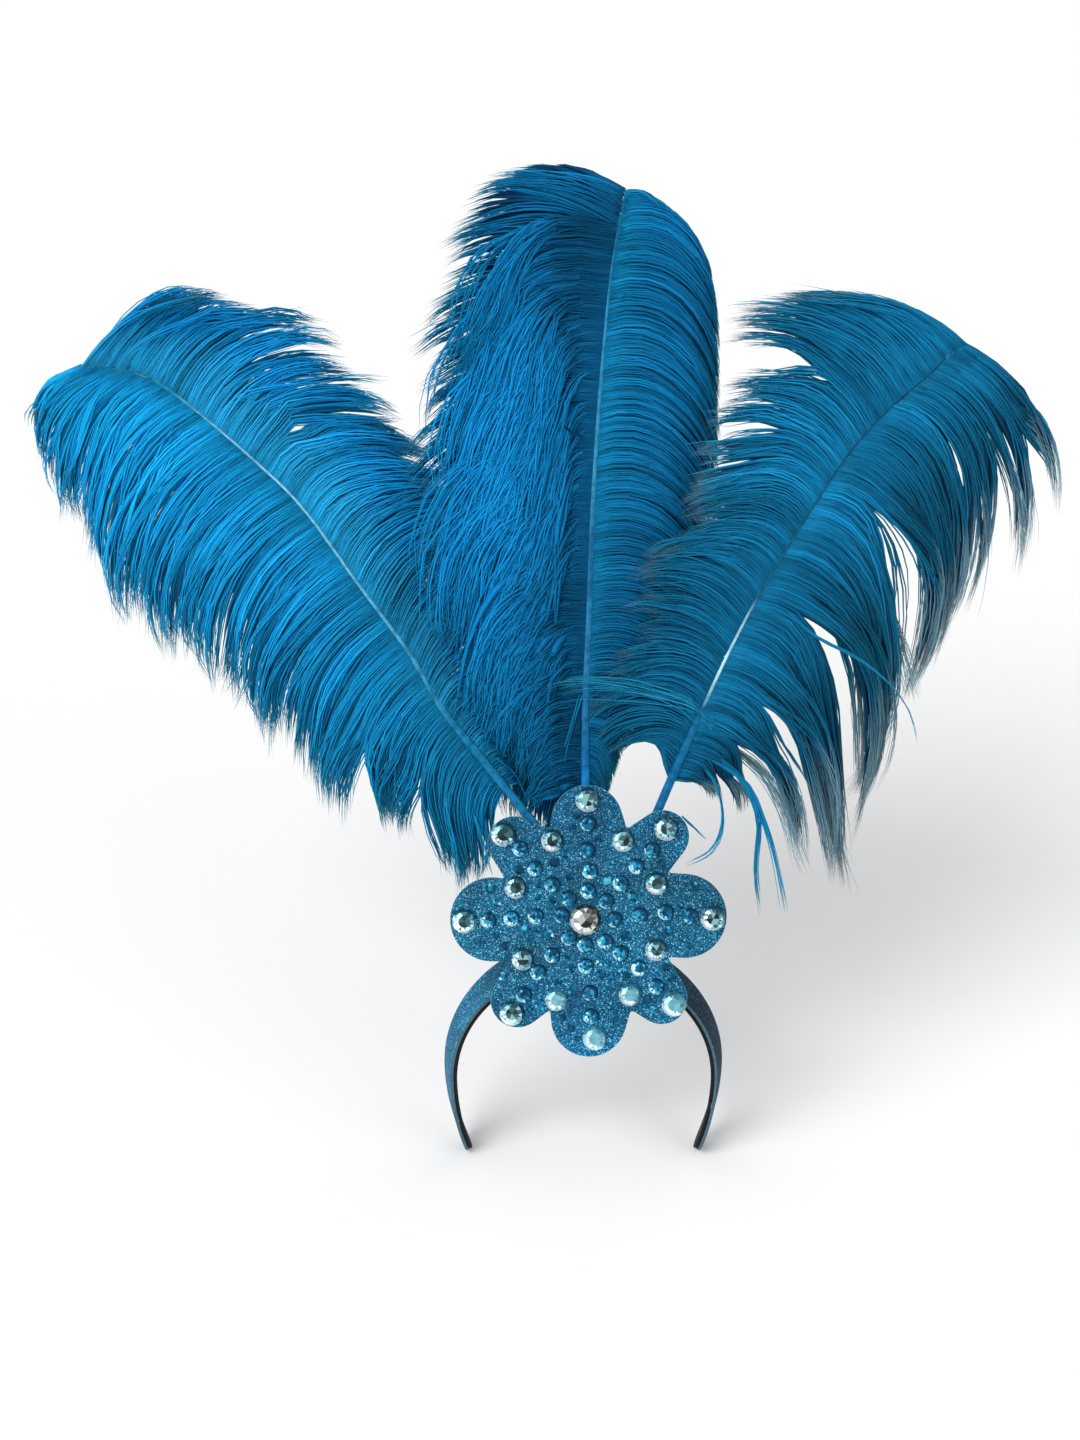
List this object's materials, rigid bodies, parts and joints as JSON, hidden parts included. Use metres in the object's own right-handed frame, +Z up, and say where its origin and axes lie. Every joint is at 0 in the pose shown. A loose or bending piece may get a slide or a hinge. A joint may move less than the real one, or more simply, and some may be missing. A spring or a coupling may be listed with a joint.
{
  "type": "rhinestone plume headdress",
  "caption": "Stage headdress: a glittery flower plaque set with rhinestones on a headband, with tall dyed plumes fanned out behind it.",
  "frame": {"origin": "middle of the headband's crown, on the side that sits on the head", "axes": "+Z up, +X to the viewer's right when seen from the front, -Y to the front, the way the flower faces"},
  "size_m": [0.5841, 0.2349, 0.5543],
  "materials": {
    "black_lining": "matt smooth foam lining",
    "glitter_foam": "foam sheet coated with coarse blue glitter",
    "clear_stone": "faceted clear aqua stone with a foil back",
    "blue_stone": "faceted dark blue stone with a foil back",
    "dyed_shaft": "dyed feather shaft, smooth horn",
    "dyed_barbs": "dyed ostrich barbs, soft and hairy",
    "backing_foam": "matt foam"
  },
  "bodies": {
    "root": {"headband_core": "black_lining", "headband_cover": "glitter_foam", "flower_plaque": "glitter_foam", "backing_pad": "backing_foam", "centre_stone": "clear_stone", "centre_ring": "blue_stone", "tip_stone_top": "clear_stone", "tip_stone_upper_right": "clear_stone", "tip_stone_right": "clear_stone", "tip_stone_lower_right": "clear_stone", "tip_stone_bottom": "clear_stone", "tip_stone_lower_left": "clear_stone", "tip_stone_left": "clear_stone", "tip_stone_upper_left": "clear_stone", "notch_stone_top": "clear_stone", "notch_stone_upper_right": "clear_stone", "notch_stone_right": "clear_stone", "notch_stone_lower_right": "clear_stone", "notch_stone_bottom": "clear_stone", "notch_stone_lower_left": "clear_stone", "notch_stone_left": "clear_stone", "notch_stone_upper_left": "clear_stone", "row_stone_top_1": "blue_stone", "row_stone_top_2": "blue_stone", "row_stone_top_3": "blue_stone", "row_stone_upper_right_1": "blue_stone", "row_stone_upper_right_2": "blue_stone", "row_stone_upper_right_3": "blue_stone", "row_stone_right_1": "blue_stone", "row_stone_right_2": "blue_stone", "row_stone_right_3": "blue_stone", "row_stone_lower_right_1": "blue_stone", "row_stone_lower_right_2": "blue_stone", "row_stone_lower_right_3": "blue_stone", "row_stone_bottom_1": "blue_stone", "row_stone_bottom_2": "blue_stone", "row_stone_bottom_3": "blue_stone", "row_stone_lower_left_1": "blue_stone", "row_stone_lower_left_2": "blue_stone", "row_stone_lower_left_3": "blue_stone", "row_stone_left_1": "blue_stone", "row_stone_left_2": "blue_stone", "row_stone_left_3": "blue_stone", "row_stone_upper_left_1": "blue_stone", "row_stone_upper_left_2": "blue_stone", "row_stone_upper_left_3": "blue_stone", "plume_shaft_left": "dyed_shaft", "plume_vane_left": "dyed_barbs", "plume_shaft_centre": "dyed_shaft", "plume_vane_centre": "dyed_barbs", "plume_shaft_right": "dyed_shaft", "plume_vane_right": "dyed_barbs"}
  },
  "joints": []
}
